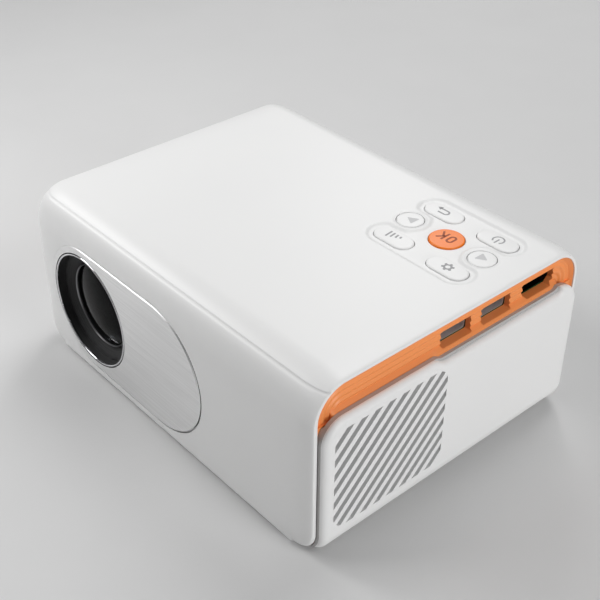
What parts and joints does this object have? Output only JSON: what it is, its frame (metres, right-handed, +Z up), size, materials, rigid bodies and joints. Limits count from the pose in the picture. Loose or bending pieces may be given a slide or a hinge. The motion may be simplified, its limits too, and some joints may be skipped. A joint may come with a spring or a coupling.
{
  "type": "video projector",
  "caption": "Small box-shaped video projector with a recessed focusing lens, top keypad, side sockets and slotted air panels.",
  "frame": {"origin": "on the ground under the middle of the body, at the underside of the feet", "axes": "+X towards the end with the data and video sockets, -Y where the lens looks, +Z up"},
  "size_m": [0.1528, 0.1184, 0.065],
  "materials": {
    "white_abs": "satin moulded ABS",
    "orange_abs": "satin moulded ABS",
    "grey_abs": "matt moulded ABS",
    "black_abs": "fine-textured moulded ABS",
    "brushed_aluminium": "anodised, brushed along its length",
    "chrome": "bright chrome plate",
    "coated_glass": "polished, coated",
    "picture_glass": "polished liquid crystal panel",
    "clear_acrylic": "moulded with fine rings",
    "cast_aluminium": "cast, bare",
    "nickel_plate": "nickel plated sheet",
    "circuit_board": "solder-masked glass epoxy",
    "filter_cloth": "fine grey mesh",
    "rubber": "matt",
    "screw_steel": "zinc plated",
    "switch_metal": "stamped cover",
    "brass": "turned"
  },
  "bodies": {
    "housing": {"top_cover": "white_abs", "main_shell": "white_abs", "foot_1": "rubber", "foot_2": "rubber", "foot_3": "rubber", "foot_4": "rubber", "base_screw_1": "screw_steel", "base_screw_2": "screw_steel", "base_screw_3": "screw_steel", "base_screw_4": "screw_steel", "tripod_insert": "brass", "right_panel": "white_abs", "right_panel_trim": "grey_abs", "right_port_frame": "orange_abs", "right_dust_mesh": "filter_cloth", "left_panel": "white_abs", "left_panel_trim": "grey_abs", "left_port_frame": "orange_abs", "left_dust_mesh": "filter_cloth", "bezel_plate": "brushed_aluminium", "lens_trim_ring": "chrome", "lens_shroud": "black_abs", "lens_mount": "black_abs", "light_box": "black_abs", "front_field_lens": "clear_acrylic", "picture_panel": "picture_glass", "rear_field_lens": "clear_acrylic", "light_funnel": "black_abs", "condenser_lens": "coated_glass", "led_board": "cast_aluminium", "heat_sink": "cast_aluminium", "fan_frame": "black_abs", "speaker": "black_abs", "main_board": "circuit_board", "data_socket_1": "nickel_plate", "data_socket_2": "nickel_plate", "video_socket": "black_abs", "inlet_board": "circuit_board", "power_inlet": "black_abs", "av_jack": "black_abs", "key_board": "circuit_board", "return_switch": "switch_metal", "power_switch": "switch_metal", "source_switch": "switch_metal", "settings_switch": "switch_metal", "previous_switch": "switch_metal", "next_switch": "switch_metal", "ok_switch": "switch_metal"},
    "return_button": {"return_key": "white_abs"},
    "power_button": {"power_key": "white_abs"},
    "source_button": {"source_key": "white_abs"},
    "settings_button": {"settings_key": "white_abs"},
    "previous_button": {"previous_key": "white_abs"},
    "next_button": {"next_key": "white_abs"},
    "ok_button": {"ok_key": "orange_abs"},
    "focus_ring": {"focus_ring": "black_abs"},
    "lens_barrel": {"lens_cell": "black_abs", "front_lens": "coated_glass", "rear_lens": "coated_glass"},
    "fan_wheel": {"fan_rotor": "black_abs"}
  },
  "joints": [
    {"name": "return_press", "type": "slide", "parent": "housing", "child": "return_button", "axis": [0, 0, -1], "range_m": [0, 0.0005], "stiffness_N_per_m": 1500, "springref_m": -0.0003},
    {"name": "power_press", "type": "slide", "parent": "housing", "child": "power_button", "axis": [0, 0, -1], "range_m": [0, 0.0005], "stiffness_N_per_m": 1500, "springref_m": -0.0003},
    {"name": "source_press", "type": "slide", "parent": "housing", "child": "source_button", "axis": [0, 0, -1], "range_m": [0, 0.0005], "stiffness_N_per_m": 1500, "springref_m": -0.0003},
    {"name": "settings_press", "type": "slide", "parent": "housing", "child": "settings_button", "axis": [0, 0, -1], "range_m": [0, 0.0005], "stiffness_N_per_m": 1500, "springref_m": -0.0003},
    {"name": "previous_press", "type": "slide", "parent": "housing", "child": "previous_button", "axis": [0, 0, -1], "range_m": [0, 0.0005], "stiffness_N_per_m": 1500, "springref_m": -0.0003},
    {"name": "next_press", "type": "slide", "parent": "housing", "child": "next_button", "axis": [0, 0, -1], "range_m": [0, 0.0005], "stiffness_N_per_m": 1500, "springref_m": -0.0003},
    {"name": "ok_press", "type": "slide", "parent": "housing", "child": "ok_button", "axis": [0, 0, -1], "range_m": [0, 0.0005], "stiffness_N_per_m": 1500, "springref_m": -0.0003},
    {"name": "focus_turn", "type": "hinge", "parent": "housing", "child": "focus_ring", "pos_m": [-0.0422, -0.04977, 0.0297], "axis": [0, -1, 0], "range_deg": [-60, 60]},
    {"name": "focus_slide", "type": "slide", "parent": "housing", "child": "lens_barrel", "axis": [0, -1, 0], "range_m": [-0.0019, 0.0019]},
    {"name": "fan_spin", "type": "hinge", "parent": "housing", "child": "fan_wheel", "pos_m": [0.0641, -0.03027, 0.0287], "axis": [1, 0, 0], "continuous": true}
  ],
  "couplings": [
    {"joint": "focus_turn", "follows": "focus_slide", "rad_per_m": 526.32}
  ]
}
